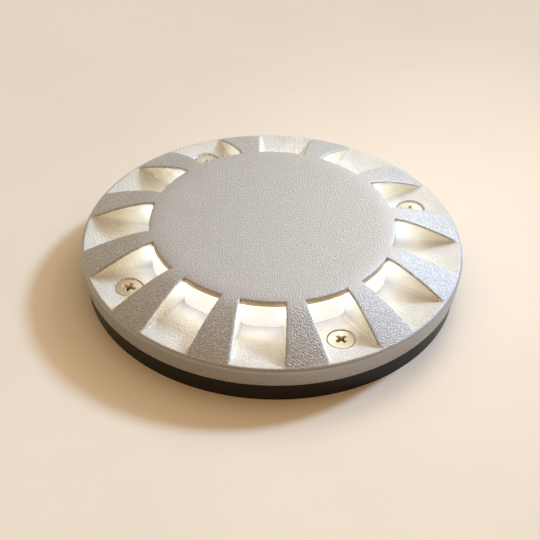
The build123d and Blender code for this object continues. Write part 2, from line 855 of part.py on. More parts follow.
def make_gland_body():
    """Stem through the wall, hexagon outside it and a thinner collar for the nut."""
    stem_start = gland_inner_reach - locknut_width - gland_stem_out
    hex_start = gland_pad_reach + gland_washer_thickness
    stem = along_gland(stem_start) * extrude(Circle(gland_thread_radius), hex_start - stem_start)
    flats = along_gland(hex_start) * hex_bar(gland_hex_flats, gland_hex_width)
    collar_start = hex_start + gland_hex_width
    collar = along_gland(collar_start) * extrude(Circle(gland_collar_radius), gland_collar_length)
    body = stem + flats + collar
    body -= along_gland(stem_start) * extrude(Circle(gland_liner), collar_start - stem_start)
    body -= along_gland(collar_start) * extrude(Circle(gland_bore), gland_collar_length)
    return body


def make_gland_locknut():
    nut = hex_bar(locknut_flats, locknut_width)
    nut -= extrude(Circle(gland_thread_radius + thread_clearance), locknut_width)
    return along_gland(gland_inner_reach - locknut_width) * nut


def gland_collar_start():
    return gland_pad_reach + gland_washer_thickness + gland_hex_width


def make_gland_seal():
    length = gland_collar_length + gland_seal_proud
    ring = extrude(Circle(gland_bore - gland_seal_gap) - Circle(gland_seal_bore), length)
    return along_gland(gland_collar_start()) * ring


def make_gland_nut():
    start = gland_collar_start() + gland_nut_gap
    nut = hex_bar(gland_nut_flats, gland_nut_length - gland_nut_dome)
    across = gland_nut_flats / 2
    nut += Pos(0, 0, gland_nut_length - gland_nut_dome) * extrude(
        Circle(across), gland_nut_dome, taper=gland_nut_lean
    )
    reach = gland_collar_length - gland_nut_gap + gland_nut_room
    nut -= extrude(Circle(gland_collar_radius + gland_nut_clearance), reach)
    nut -= extrude(Circle(gland_nut_mouth), gland_nut_length)
    return along_gland(start) * nut


# ---------------------------------------------------------------- write every node
def main():
    os.makedirs("parts", exist_ok=True)
    save([make_cover()], "cover")
    save(make_cover_screws(), "cover_screws")
    save(make_cover_inserts(), "cover_inserts")
    save([make_lens()], "lens")
    save([make_lens_gasket()], "lens_gasket")
    save([make_housing_seal()], "housing_seal")
    save([make_housing()], "housing")
    save(make_tray_inserts(), "tray_inserts")
    save([make_heat_sink()], "heat_sink")
    save(make_tray_screws(), "tray_screws")
    save([drilled_disc(pad_radius, tray_top, board_base)], "thermal_pad")
    save([drilled_disc(board_radius, board_base, board_top)], "led_board")
    save(make_leds(), "leds")
    save([make_reflector()], "reflector")
    save(make_board_screws(), "board_screws")
    save(make_lamp_leads(), "lamp_leads")
    save(make_standoffs(), "standoffs")
    save([make_driver_board()], "driver_board")
    save(make_driver_screws(), "driver_screws")
    save(make_capacitors(), "capacitors")
    core, winding = make_inductor()
    save([core], "inductor_core")
    save([winding], "inductor_winding")
    save([make_rectifier()], "rectifier")
    save(make_driver_chips(), "driver_chips")
    save([make_driver_header()], "driver_header")
    save([make_supply_plug()], "supply_plug")
    save(make_supply_leads(), "supply_leads")
    save([make_terminal_block()], "terminal_block")
    save(make_clamp_screws(), "clamp_screws")
    save(make_block_screws(), "block_screws")
    save([make_gland_washer()], "gland_washer")
    save([make_gland_body()], "gland_body")
    save([make_gland_locknut()], "gland_locknut")
    save([make_gland_seal()], "gland_seal")
    save([make_gland_nut()], "gland_nut")


main()
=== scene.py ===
"""In-ground well light: its surfaces, its stage and its camera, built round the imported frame."""
import json
from contextlib import contextmanager
from math import asin, atan2, cos, hypot, pi, radians, sin, sqrt, tan

import bpy
from bpy.props import FloatProperty, FloatVectorProperty, IntProperty, PointerProperty
from mathutils import Matrix, Vector


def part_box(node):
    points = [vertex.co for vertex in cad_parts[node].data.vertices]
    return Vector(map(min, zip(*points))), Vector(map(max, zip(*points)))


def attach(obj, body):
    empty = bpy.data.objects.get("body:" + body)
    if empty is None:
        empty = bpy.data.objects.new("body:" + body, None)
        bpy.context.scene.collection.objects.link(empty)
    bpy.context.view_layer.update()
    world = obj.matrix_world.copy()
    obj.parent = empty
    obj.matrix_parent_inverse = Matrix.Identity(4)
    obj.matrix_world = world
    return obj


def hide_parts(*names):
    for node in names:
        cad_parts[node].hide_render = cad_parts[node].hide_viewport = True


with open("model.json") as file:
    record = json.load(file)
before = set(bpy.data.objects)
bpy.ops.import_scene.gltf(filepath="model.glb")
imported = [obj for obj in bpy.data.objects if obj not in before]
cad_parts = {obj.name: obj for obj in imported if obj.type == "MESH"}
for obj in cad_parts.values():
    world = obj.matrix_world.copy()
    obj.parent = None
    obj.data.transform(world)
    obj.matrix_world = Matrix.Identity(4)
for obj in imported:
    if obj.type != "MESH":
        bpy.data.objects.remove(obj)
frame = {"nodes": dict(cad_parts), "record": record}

bl_info = {
    "name": "In-ground well light",
    "version": (1, 0, 0),
    "blender": (4, 5, 0),
    "location": "View3D > Sidebar > Well Light",
    "description": "Models the pieces, finishes and stage of an in-ground well light",
    "category": "Object",
}

MM = 0.001
TURN = 2 * pi
DOUBLES = 0.002 * MM           # points nearer than this are one
NODE_DOUBLES = 0.001 * MM      # the same, in a copy of a node
SMOOTH_BELOW = radians(32)     # edges that turn more than this stay sharp

COVER_LOW, COVER_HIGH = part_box("cover")
LENS_LOW, LENS_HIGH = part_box("lens")
_, HOUSING_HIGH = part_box("housing")
SCREWS_LOW, SCREWS_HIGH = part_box("cover_screws")


# ---------------------------------------------------------------- settings
def length_field(name, description, default):
    return FloatProperty(name=name, description=description, default=default, unit="LENGTH")


def angle_field(name, description, degrees):
    return FloatProperty(name=name, description=description, default=radians(degrees), subtype="ANGLE")


def strength_field(name, description, default):
    return FloatProperty(name=name, description=description, default=default, min=0)


def point_field(name, description, default):
    return FloatVectorProperty(
        name=name, description=description, default=default, size=3, subtype="TRANSLATION", unit="LENGTH")


def colour_field(name, description, default):
    return FloatVectorProperty(
        name=name, description=description, default=default, size=3, subtype="COLOR", min=0, max=1)


class CoverSettings(bpy.types.PropertyGroup):
    """Sizes of the cast cover."""

    disc_radius: length_field("Disc radius", "Radius of the flat disc", 45 * MM)
    disc_thickness: length_field("Lip", "Height of the disc's edge over each window", 2.7 * MM)
    corner_radius: length_field("Corner radius", "Radius of the rim's top corner", 68.9 * MM)
    corner_height: length_field("Corner height", "Height of the rim's top corner", 15.7 * MM)
    crown_rise: length_field("Crown", "Bulge of each rib above a straight slope", 0.9 * MM)
    floor_fall: length_field("Floor fall", "How far a window's floor falls towards the lens", 0.8 * MM)
    floor_thickness: length_field("Floor thickness", "Thickness of a window's floor", 3 * MM)
    window_width: length_field("Window width", "Between two ribs, beside the lens", 14.8 * MM)
    mouth_width: length_field("Mouth width", "Between two ribs, at the rim", 19.9 * MM)
    draft: angle_field("Draft", "Lean of each rib's sides", 4)
    fillet: length_field("Fillet", "Radius between a window's floor and its walls", 1.4 * MM)
    edge_round: length_field("Edge round", "Radius along the top edges of the windows", 0.75 * MM)
    blend: length_field("Blend", "Depth over which the disc rolls off into the ribs", 1.9 * MM)
    unevenness: length_field("Unevenness", "How far the cast skin strays from the true shape", 0.09 * MM)
    screw_ring: length_field("Screw ring", "Radius at which the screws stand", 57 * MM)
    window_count: IntProperty(name="Windows", description="Number of windows", default=12, min=3)


class FinishSettings(bpy.types.PropertyGroup):
    """Colours that a user would change."""

    cast: colour_field("Cast metal", "Colour of the cast cover", (0.455, 0.442, 0.425))
    # The rim's side: partly its own smoother finish, partly painted shade, darker and bluer than the cast
    # metal.
    rim: colour_field("Rim", "Colour of the cover's smooth side", (0.40, 0.42, 0.44))
    # Painted light: the lip is painted gold for the lens's warm glow that falls on it.
    lip: colour_field("Lip", "Colour of the disc's edge over the windows", (0.72, 0.60, 0.38))
    # Painted light: these four colours paint the lens's glow into the windows, cool by the lens, warm and
    # pale by the rim, walls lighter than floors.
    inner_floor_with_painted_glow: colour_field("Inner floor", "Colour of a window's floor by the lens", (0.56, 0.57, 0.60))
    outer_floor_with_painted_glow: colour_field("Outer floor", "Colour of a window's floor by the rim", (0.69, 0.67, 0.61))
    inner_wall_with_painted_glow: colour_field("Inner wall", "Colour of a window's walls by the lens", (0.66, 0.68, 0.66))
    outer_wall_with_painted_glow: colour_field("Outer wall", "Colour of a window's walls by the rim", (0.89, 0.87, 0.72))
    housing: colour_field("Housing", "Colour of the buried housing", (0.010, 0.0098, 0.0100))
    lens: colour_field("Lens", "Colour of the frosted lens", (0.86, 0.85, 0.84))
    glow: colour_field("Glow", "Colour of the light through the lens", (0.91, 0.94, 0.96))
    glow_strength: strength_field("Glow strength", "Brightness of the lens under the disc", 10.5)
    glow_seen: strength_field("Glow seen", "Brightness of the lens to the eye", 0.53)
    glow_low: FloatProperty(
        name="Glow low", description="Share of that brightness at the foot of the windows", default=0.08,
        min=0, max=1)
    # Partly painted light: the stainless colour is tinted gold and darkened for the lens's warm glow on the
    # heads.
    screw: colour_field("Screws", "Colour of the stainless screws", (0.63, 0.57, 0.45))


class StageSettings(bpy.types.PropertyGroup):
    """Floor, lamps and camera."""

    floor: colour_field("Floor", "Colour of the floor", (0.86, 0.765, 0.64))
    fill_front: colour_field("Fill in front", "Soft light from the front", (0.40, 0.17, 0.01))
    fill_back: colour_field("Fill behind", "Soft light from behind", (0.90, 0.83, 0.655))
    backdrop: colour_field("Backdrop", "Colour seen behind the object", (0.86, 0.82, 0.76))
    key: colour_field("Key", "Colour of the main lamp", (0.50, 0.71, 1.0))
    key_strength: strength_field("Key strength", "Irradiance of the main lamp", 3.1)
    key_azimuth: angle_field("Key azimuth", "Where the main lamp stands, from +X towards +Y", 42)
    key_elevation: angle_field("Key elevation", "Height of the main lamp", 31)
    key_spread: angle_field("Key spread", "Width of the main lamp as seen from the object", 9)
    side: colour_field("Side", "Colour of the soft side lamp", (1.0, 0.96, 0.99))
    side_power: strength_field("Side power", "Power of the soft side lamp", 0.044)
    side_azimuth: angle_field("Side azimuth", "Where the side lamp stands, from +X towards +Y", 75)
    side_elevation: angle_field("Side elevation", "Height of the side lamp", 42)
    side_distance: length_field("Side distance", "From the side lamp to the object", 0.28)
    side_aim: point_field("Side aim", "Point that the side lamp is aimed at", (55 * MM, 0, 22 * MM))
    side_spread: angle_field("Side spread", "Spread of the side lamp's beam", 60)
    side_size: length_field("Side size", "Width of the side lamp", 0.15)
    floor_size: length_field("Floor size", "Radius of the floor", 3.0)
    azimuth: angle_field("Azimuth", "Turn of the camera round the object", 3.37)
    elevation: angle_field("Elevation", "Camera's height above the horizon", 38.65)
    roll: angle_field("Roll", "Turn of the camera about its own axis", 1.8)
    distance: length_field("Distance", "From the camera to what it aims at", 1094.4 * MM)
    aim: point_field("Aim", "Point that the camera aims at", (0.36 * MM, -13.8 * MM, 15.7 * MM))
    lens: FloatProperty(name="Focal length", description="In millimetres", default=200.9)


# ---------------------------------------------------------------- modelling helpers
def start():
    """Leaves edit mode and selects nothing, so that an operator acts only on what is made next."""
    if bpy.context.object and bpy.context.object.mode != "OBJECT":
        bpy.ops.object.mode_set(mode="OBJECT")
    bpy.ops.object.select_all(action="DESELECT")


def pick(*pieces):
    """Selects these pieces alone, the first one active."""
    start()
    for piece in pieces:
        piece.select_set(True)
    bpy.context.view_layer.objects.active = pieces[0]


@contextmanager
def editing(piece):
    """Edit mode on this piece, with its whole mesh selected."""
    pick(piece)
    bpy.ops.object.mode_set(mode="EDIT")
    bpy.ops.mesh.select_all(action="SELECT")
    yield
    bpy.ops.object.mode_set(mode="OBJECT")


def named(name):
    """Names the active piece and its mesh."""
    piece = bpy.context.object
    piece.name = piece.data.name = name
    return piece


def add_object(name, data):
    """A new object in the scene, with this mesh, lamp or camera."""
    made = bpy.data.objects.new(name, data)
    bpy.context.collection.objects.link(made)
    return made


def place_points(mesh, points):
    """Moves the mesh's points, in order, to these."""
    mesh.vertices.foreach_set("co", [c for point in points for c in point])
    mesh.update()


def patch(name, columns, rows, where, material):
    """A grid of faces whose points stand at where(row, column)."""
    start()
    bpy.ops.mesh.primitive_grid_add(x_subdivisions=columns, y_subdivisions=rows, size=1)
    piece = named(name)
    place_points(piece.data, [where(j, i) for j in range(rows + 1) for i in range(columns + 1)])
    piece.data.materials.append(material)
    return piece


def block(name, where, material):
    """A six-sided block whose corners stand at where(x, y, z), each of these -1 or 1."""
    start()
    bpy.ops.mesh.primitive_cube_add(size=2)
    piece = named(name)
    place_points(piece.data, [where(*corner.co) for corner in piece.data.vertices])
    piece.data.materials.append(material)
    return piece


def join(name, pieces):
    """Makes the pieces one."""
    pick(*pieces)
    bpy.ops.object.join()
    return named(name)


def close_up(piece):
    """Merges doubled points and turns every face outwards."""
    with editing(piece):
        bpy.ops.mesh.remove_doubles(threshold=DOUBLES)
        bpy.ops.mesh.normals_make_consistent(inside=False)
    return piece


def copies_round(piece, count):
    """Repeats everything in the piece evenly round Z."""
    with editing(piece):
        bpy.ops.mesh.spin(
            steps=count - 1, dupli=True, angle=TURN * (count - 1) / count, center=(0, 0, 0), axis=(0, 0, 1))
    return piece


def turned(name, outline, steps, material, centre=(0, 0)):
    """A body of revolution about a vertical axis from an outline of (radius, height) points."""
    start()
    mesh = bpy.data.meshes.new(name)
    count = len(outline)
    closed = outline[0][0] > 0 or outline[-1][0] > 0
    edges = [(k, k + 1) for k in range(count - 1)] + ([(count - 1, 0)] if closed else [])
    x, y = centre
    mesh.from_pydata([(x + r, y, z) for r, z in outline], edges, [])
    piece = add_object(name, mesh)
    mesh.materials.append(material)
    with editing(piece):
        bpy.ops.mesh.spin(steps=steps, angle=TURN, center=(x, y, 0), axis=(0, 0, 1))
    return close_up(piece)


def apply_modifier(piece, kind, **settings):
    """Adds a modifier of this kind with these settings, and applies it."""
    pick(piece)
    modifier = piece.modifiers.new(kind.title(), kind)
    for key, value in settings.items():
        setattr(modifier, key, value)
    bpy.ops.object.modifier_apply(modifier=modifier.name)


def cut(piece, tool, operation="DIFFERENCE"):
    """Cuts the tool out of the piece, or joins it on, and uses it up."""
    apply_modifier(piece, "BOOLEAN", object=tool, operation=operation, solver="EXACT")
    bpy.data.objects.remove(tool, do_unlink=True)
    return piece


def smooth(piece):
    """Shades the piece smooth, with its sharper edges kept."""
    pick(piece)
    bpy.ops.object.shade_smooth_by_angle(angle=SMOOTH_BELOW)


def finished(piece, body, slot, *nodes):
    """The piece rides on its body and stands for these nodes."""
    if not piece.data.polygons:
        raise RuntimeError(f"{piece.name} came out without faces")
    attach(piece, body)
    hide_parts(*nodes)
    return piece


def smooth_copy(node, material, body, slot):
    """A merged copy of a node that stays as it is, shaded smooth across its curves."""
    start()
    piece = add_object(node + "_finish", frame["nodes"][node].data.copy())
    piece.data.materials.clear()
    piece.data.materials.append(material)
    with editing(piece):
        bpy.ops.mesh.remove_doubles(threshold=NODE_DOUBLES)
    smooth(piece)
    return finished(piece, body, slot, node)


# ---------------------------------------------------------------- material helpers
class NodeTree:
    """Adds nodes to a tree and links them."""

    def __init__(self, tree):
        self.tree = tree

    def put(self, socket, value):
        """Links the socket to another, or sets it to a number or colour."""
        if isinstance(value, bpy.types.NodeSocket):
            self.tree.links.new(value, socket)
        elif socket.type == "RGBA":
            socket.default_value = (*value[:3], 1)
        else:
            socket.default_value = value

    def node(self, kind, inputs=(), **settings):
        made = self.tree.nodes.new("ShaderNode" + kind)
        for key, value in settings.items():
            setattr(made, key, value)
        for key, value in dict(inputs).items():
            self.put(made.inputs[key], value)
        return made

    def colour(self, share, first, second):
        """From the first colour to the second as the share goes from 0 to 1."""
        made = self.node("Mix", {0: share, 6: first, 7: second}, data_type="RGBA")
        return made.outputs[2]


class Finish(NodeTree):
    """A procedural material on object coordinates."""

    def __init__(self, name):
        self.material = bpy.data.materials.new(name)
        self.material.use_nodes = True
        super().__init__(self.material.node_tree)
        self.shader = self.tree.nodes["Principled BSDF"]
        self.place = self.node("TexCoord").outputs["Object"]

    def set(self, **inputs):
        for key, value in inputs.items():
            self.put(self.shader.inputs[key.replace("_", " ")], value)

    def noise(self, size, detail=2.0, roughness=0.5, turn=None):
        """Noise whose features are about this size across."""
        at = self.place
        if turn:
            at = self.node("Mapping", {"Vector": at, "Rotation": turn}).outputs[0]
        made = self.node(
            "TexNoise", {"Vector": at, "Scale": 1 / size, "Detail": detail, "Roughness": roughness})
        return made.outputs["Fac"]

    def math(self, operation, a, b=0.0):
        return self.node("Math", {0: a, 1: b}, operation=operation).outputs[0]

    def between(self, value, low, high, first=0.0, last=1.0):
        """Runs smoothly from first to last as the value goes from low to high."""
        made = self.node(
            "MapRange",
            {"Value": value, "From Min": low, "From Max": high, "To Min": first, "To Max": last},
            interpolation_type="SMOOTHSTEP")
        return made.outputs["Result"]

    def axes(self):
        made = self.node("SeparateXYZ", {"Vector": self.place})
        return made.outputs[0], made.outputs[1], made.outputs[2]

    def radius(self):
        """Distance from the light's own axis."""
        x, y, _ = self.axes()
        return self.math("SQRT", self.math("ADD", self.math("MULTIPLY", x, x), self.math("MULTIPLY", y, y)))

    def bump(self, height, depth):
        self.set(Normal=self.node("Bump", {"Height": height, "Distance": depth, "Strength": 1}).outputs[0])


def shade(colour, factor):
    """The colour, this many times as bright."""
    return tuple(min(1.0, c * factor) for c in colour)


DUST = (0.3, 0.28, 0.24)       # what lies in the windows, in thin clouds


def cast_grain(finish):
    """Height of the sand-cast skin: rounded lumps under finer grain."""
    lumps = finish.noise(0.60 * MM, detail=0.0)
    grain = finish.noise(0.36 * MM, detail=1.0, roughness=0.6, turn=(0.4, 0.7, 0.5))
    return finish.math("ADD", finish.math("MULTIPLY", lumps, 0.8), grain)


def cast_aluminium(settings, shape):
    """Satin cast metal: grainy on top, coarser down the ribs, darker and smoother round the rim's side; the
    grain has painted shade in its pits and painted sparkle on its peaks, the lip is painted gold for the
    lens's glow, and the rim's darker colour is partly painted shade.
    """
    finish = Finish("cast_aluminium")
    grain = cast_grain(finish)
    radius = finish.radius()
    disc = shape.s.disc_radius
    # The rim's side: its own smoother, more metallic finish, and a darker, bluer colour that is partly
    # painted shade.
    side = finish.between(radius, shape.s.corner_radius - 0.3 * MM, shape.outer + 0.2 * MM)
    outwards = finish.between(radius, disc - 5 * MM, disc + 15 * MM, 0.8, 1.2)
    _, _, height = finish.axes()
    clouds = finish.noise(14 * MM, detail=3.0)
    tone = finish.colour(clouds, shade(settings.cast, 0.95), shade(settings.cast, 1.05))
    # Painted shade in the grain's pits and painted sparkle on its peaks, stronger out on the ribs.
    grain_painted_shade_and_sparkle = finish.colour(
        finish.between(grain, 0.72, 0.92), shade(settings.cast, 0.7), shade(settings.cast, 0.96))
    grain_painted_shade_and_sparkle = finish.colour(finish.between(grain, 0.95, 1.2), grain_painted_shade_and_sparkle, shade(settings.cast, 1.55))
    top = finish.colour(finish.between(outwards, 0.8, 1.2, 0.25, 0.75), tone, grain_painted_shade_and_sparkle)
    # Painted light: the lip's face over the windows is painted gold for the lens's warm glow.
    lip = finish.math(
        "MULTIPLY", finish.between(radius, disc + 1 * MM, disc + 2 * MM, 1.0, 0.0),
        finish.between(height, shape.lip + 0.4 * MM, shape.lip + 2 * MM, 0.9, 0.0))
    top = finish.colour(lip, top, settings.lip)
    gloss = finish.between(clouds, 0.3, 0.7, 0.48, 0.54)
    finish.set(
        Base_Color=finish.colour(side, top, settings.rim),
        Roughness=finish.math("SUBTRACT", gloss, finish.math("MULTIPLY", side, 0.1)),
        Metallic=finish.math("ADD", finish.math("MULTIPLY", side, 0.2), 0.5),
    )
    relief = finish.math("MULTIPLY", outwards, finish.between(side, 0, 1, 1.0, 0.15))
    finish.bump(finish.math("MULTIPLY", grain, relief), 0.175 * MM)
    return finish.material


def cast_window_painted_glow(settings, shape):
    """The same metal inside the windows, with the lens's warm glow painted into its colour: cool and smooth
    by the lens, paler and grainier by the rim, its walls painted lighter than its floor.
    """
    finish = Finish("cast_window_painted_glow")
    grain = cast_grain(finish)
    radius = finish.radius()
    _, _, height = finish.axes()
    clouds = finish.noise(9 * MM, detail=3.0)
    disc, corner = shape.s.disc_radius, shape.s.corner_height
    outwards = finish.between(radius, disc + 2 * MM, disc + 15 * MM)
    floor_outwards = finish.between(radius, disc + 1 * MM, disc + 11 * MM)
    # Painted glow: the floor runs from cool by the lens to warm and pale by the rim, and the walls are
    # painted lighter than the floor.
    floor = finish.colour(floor_outwards, settings.inner_floor_with_painted_glow, settings.outer_floor_with_painted_glow)
    wall = finish.colour(outwards, settings.inner_wall_with_painted_glow, settings.outer_wall_with_painted_glow)
    tone = finish.colour(finish.between(height, corner + 0.2 * MM, corner + 1.8 * MM), floor, wall)
    finish.set(
        Base_Color=finish.colour(finish.between(clouds, 0.3, 0.7, 0.0, 0.12), tone, DUST),
        Roughness=finish.between(clouds, 0.3, 0.7, 0.6, 0.7),
        Metallic=0.2,
    )
    finish.bump(finish.math("MULTIPLY", grain, finish.between(outwards, 0, 1, 0.2, 1.0)), 0.30 * MM)
    return finish.material


def frosted_lens(settings):
    """Frosted cup, lit from inside: brightest under the disc, dimmed only for the eye."""
    finish = Finish("frosted_lens")
    _, _, height = finish.axes()
    haze = finish.noise(6 * MM)
    top, strong, eye = LENS_HIGH.z, settings.glow_strength, settings.glow_seen
    thrown = finish.between(height, top - 5.5 * MM, top - 1 * MM, strong * settings.glow_low, strong)
    seen = finish.between(height, top - 8.5 * MM, top - 3.5 * MM, eye * 0.9, eye)
    to_eye = finish.node("LightPath").outputs["Is Camera Ray"]
    strength = finish.node("Mix", {0: to_eye, 2: thrown, 3: seen}, data_type="FLOAT")
    finish.set(
        Base_Color=finish.colour(haze, settings.lens, shade(settings.lens, 1.05)),
        Roughness=0.55,
        IOR=1.58,
        Emission_Color=settings.glow,
        Emission_Strength=strength.outputs[0],
    )
    finish.bump(finish.noise(0.4 * MM), 0.05 * MM)
    return finish.material


def black_housing(settings):
    """Glass-filled black moulding with a faint grain."""
    finish = Finish("black_housing")
    clouds = finish.noise(20 * MM, detail=3.0)
    finish.set(
        Base_Color=finish.colour(clouds, settings.housing, shade(settings.housing, 1.5)),
        Roughness=finish.between(clouds, 0.3, 0.7, 0.28, 0.38),
        Specular_IOR_Level=0.3,
    )
    finish.bump(finish.noise(0.5 * MM, detail=2.0), 0.05 * MM)
    return finish.material


def stainless(settings):
    """Turned stainless steel, rubbed soft, tinted gold for the lens's warm glow, with painted shade down in
    the cross.
    """
    finish = Finish("stainless_screws")
    rub = finish.noise(1.5 * MM, detail=3.0)
    _, _, height = finish.axes()
    # Painted shade: down in the cross the colour is darker and less metallic.
    cross_painted_shade = finish.between(height, SCREWS_HIGH.z - 1.6 * MM, SCREWS_HIGH.z - 0.5 * MM)
    face = finish.colour(rub, shade(settings.screw, 0.92), shade(settings.screw, 1.08))
    finish.set(
        Base_Color=finish.colour(cross_painted_shade, shade(settings.screw, 0.3), face),
        Roughness=finish.between(rub, 0.3, 0.7, 0.52, 0.64),
        Metallic=finish.between(cross_painted_shade, 0, 1, 0.3, 0.9),
    )
    finish.bump(finish.noise(0.3 * MM), 0.02 * MM)
    return finish.material


def drawn_lines(finish):
    """Fine lines along the height, as extruding leaves them."""
    at = finish.node("Mapping", {"Vector": finish.place, "Scale": (1, 1, 0.03)}).outputs[0]
    made = finish.node("TexNoise", {"Vector": at, "Scale": 1 / (0.5 * MM), "Detail": 2.0})
    return made.outputs["Fac"], 0.03 * MM


def spun_lines(finish):
    """Fine rings round the light's axis, as turning leaves them."""
    rings = finish.math("SINE", finish.math("MULTIPLY", finish.radius(), TURN / (0.35 * MM)))
    return rings, 0.003 * MM


def moulded_grain(finish):
    """The faint grain of a moulding tool."""
    return finish.noise(0.5 * MM), 0.03 * MM


def printed_tracks(finish):
    """Copper tracks that stand out a little under the board's varnish."""
    tracks = finish.node("TexBrick", {
        "Vector": finish.place, "Scale": 1 / MM, "Mortar Size": 0.12, "Mortar Smooth": 0.3,
        "Brick Width": 3.4, "Row Height": 0.9})
    return tracks.outputs["Fac"], 0.03 * MM


def wound_turns(finish):
    """Fine turns of enamelled wire."""
    turns = finish.node("TexWave", {"Vector": finish.place, "Scale": 1 / (1.6 * MM), "Distortion": 0.4},
                        wave_type="BANDS", bands_direction="Z")
    return turns.outputs["Fac"], 0.12 * MM


def plain_finish(name, colour, roughness, metallic, relief):
    """A moulded, machined or plated surface: clouding of its colour and gloss over its own relief."""
    finish = Finish(name)
    clouds = finish.noise(12 * MM, detail=3.0)
    height, depth = relief(finish)
    clouded = finish.colour(clouds, shade(colour, 0.92), shade(colour, 1.08))
    raised = finish.colour(clouds, shade(colour, 1.15), shade(colour, 1.5))
    finish.set(
        Base_Color=finish.colour(finish.between(height, 0.4, 1.0, 0.0, 0.6), clouded, raised),
        Roughness=finish.between(clouds, 0.3, 0.7, roughness * 0.9, min(1.0, roughness * 1.1)),
        Metallic=metallic,
    )
    finish.bump(height, depth)
    return finish.material


# ---------------------------------------------------------------- shape of the cover
# Faces across half a window, from its middle, and on over half a rib.
FLOOR_COLUMNS = 6
FILLET_COLUMNS = 4
WALL_COLUMNS = 4
ROUND_COLUMNS = 4
CROWN_COLUMNS = 7
LIP_COLUMNS = 6
# Rings of faces down the slope, over the disc, under it and round the rim.
SLOPE_ROWS = 22
DISC_ROWS = 24
UNDER_DISC_ROWS = 6
UNDER_RIM_ROWS = 5
CORNER_ROWS = 6
SIDE_ROWS = 4
EVEN_ROWS = 0.45               # how evenly the slope's rows lie; at 0 they crowd at both ends
# Steps round each turned body.
LENS_STEPS = 180
SCREW_STEPS = 64
SEAT_STEPS = 64
BOSS_STEPS = 48

RIM_INSET = 0.9 * MM           # the rim's side leans in by this much towards its foot
FOOT_ROUND = 0.5 * MM
CORNER_BEND = 0.4              # how far down the rim's corner bends and ends, as shares of its width
CORNER_END = 1.3
SKIRT_WALL = 3.1 * MM          # ring that stands on the housing's flange
FEATHER_WIDTH = 0.6 * MM       # a window widens by this much where its walls run out at the rim
FEATHER_HEIGHT = 1.2 * MM      # and does so where they are lower than this

CORE_INNER = 52.5 * MM         # radii that the hollow under each rib runs between
CORE_OUTER = 62.5 * MM
CORE_HALF_WIDTH = 3.5 * MM
CORE_ROOF = 3.6 * MM           # metal above it
CORE_ROUND = 0.8 * MM

SCREW_COUNT = 4
SCREW_EVERY = 3                # windows from one screw to the next
SEAT_HOLE = 2.75 * MM          # radius of a screw's hole
SEAT_RADIUS = 5.05 * MM        # radius of the seat round its head
SEAT_STRAIGHT = 0.6 * MM       # depth of the seat's straight side
SEAT_CHAMFER = 0.3 * MM
BOSS_RADIUS = 5.7 * MM
BOSS_CHAMFER = 0.3 * MM
BOSS_SINK = 1 * MM             # how far a boss runs up into the ledge
CUT_PAST = 2 * MM              # a cutter runs this far past what it cuts
SKIN_LUMPS = 7 * MM            # width of the casting's uneven spots


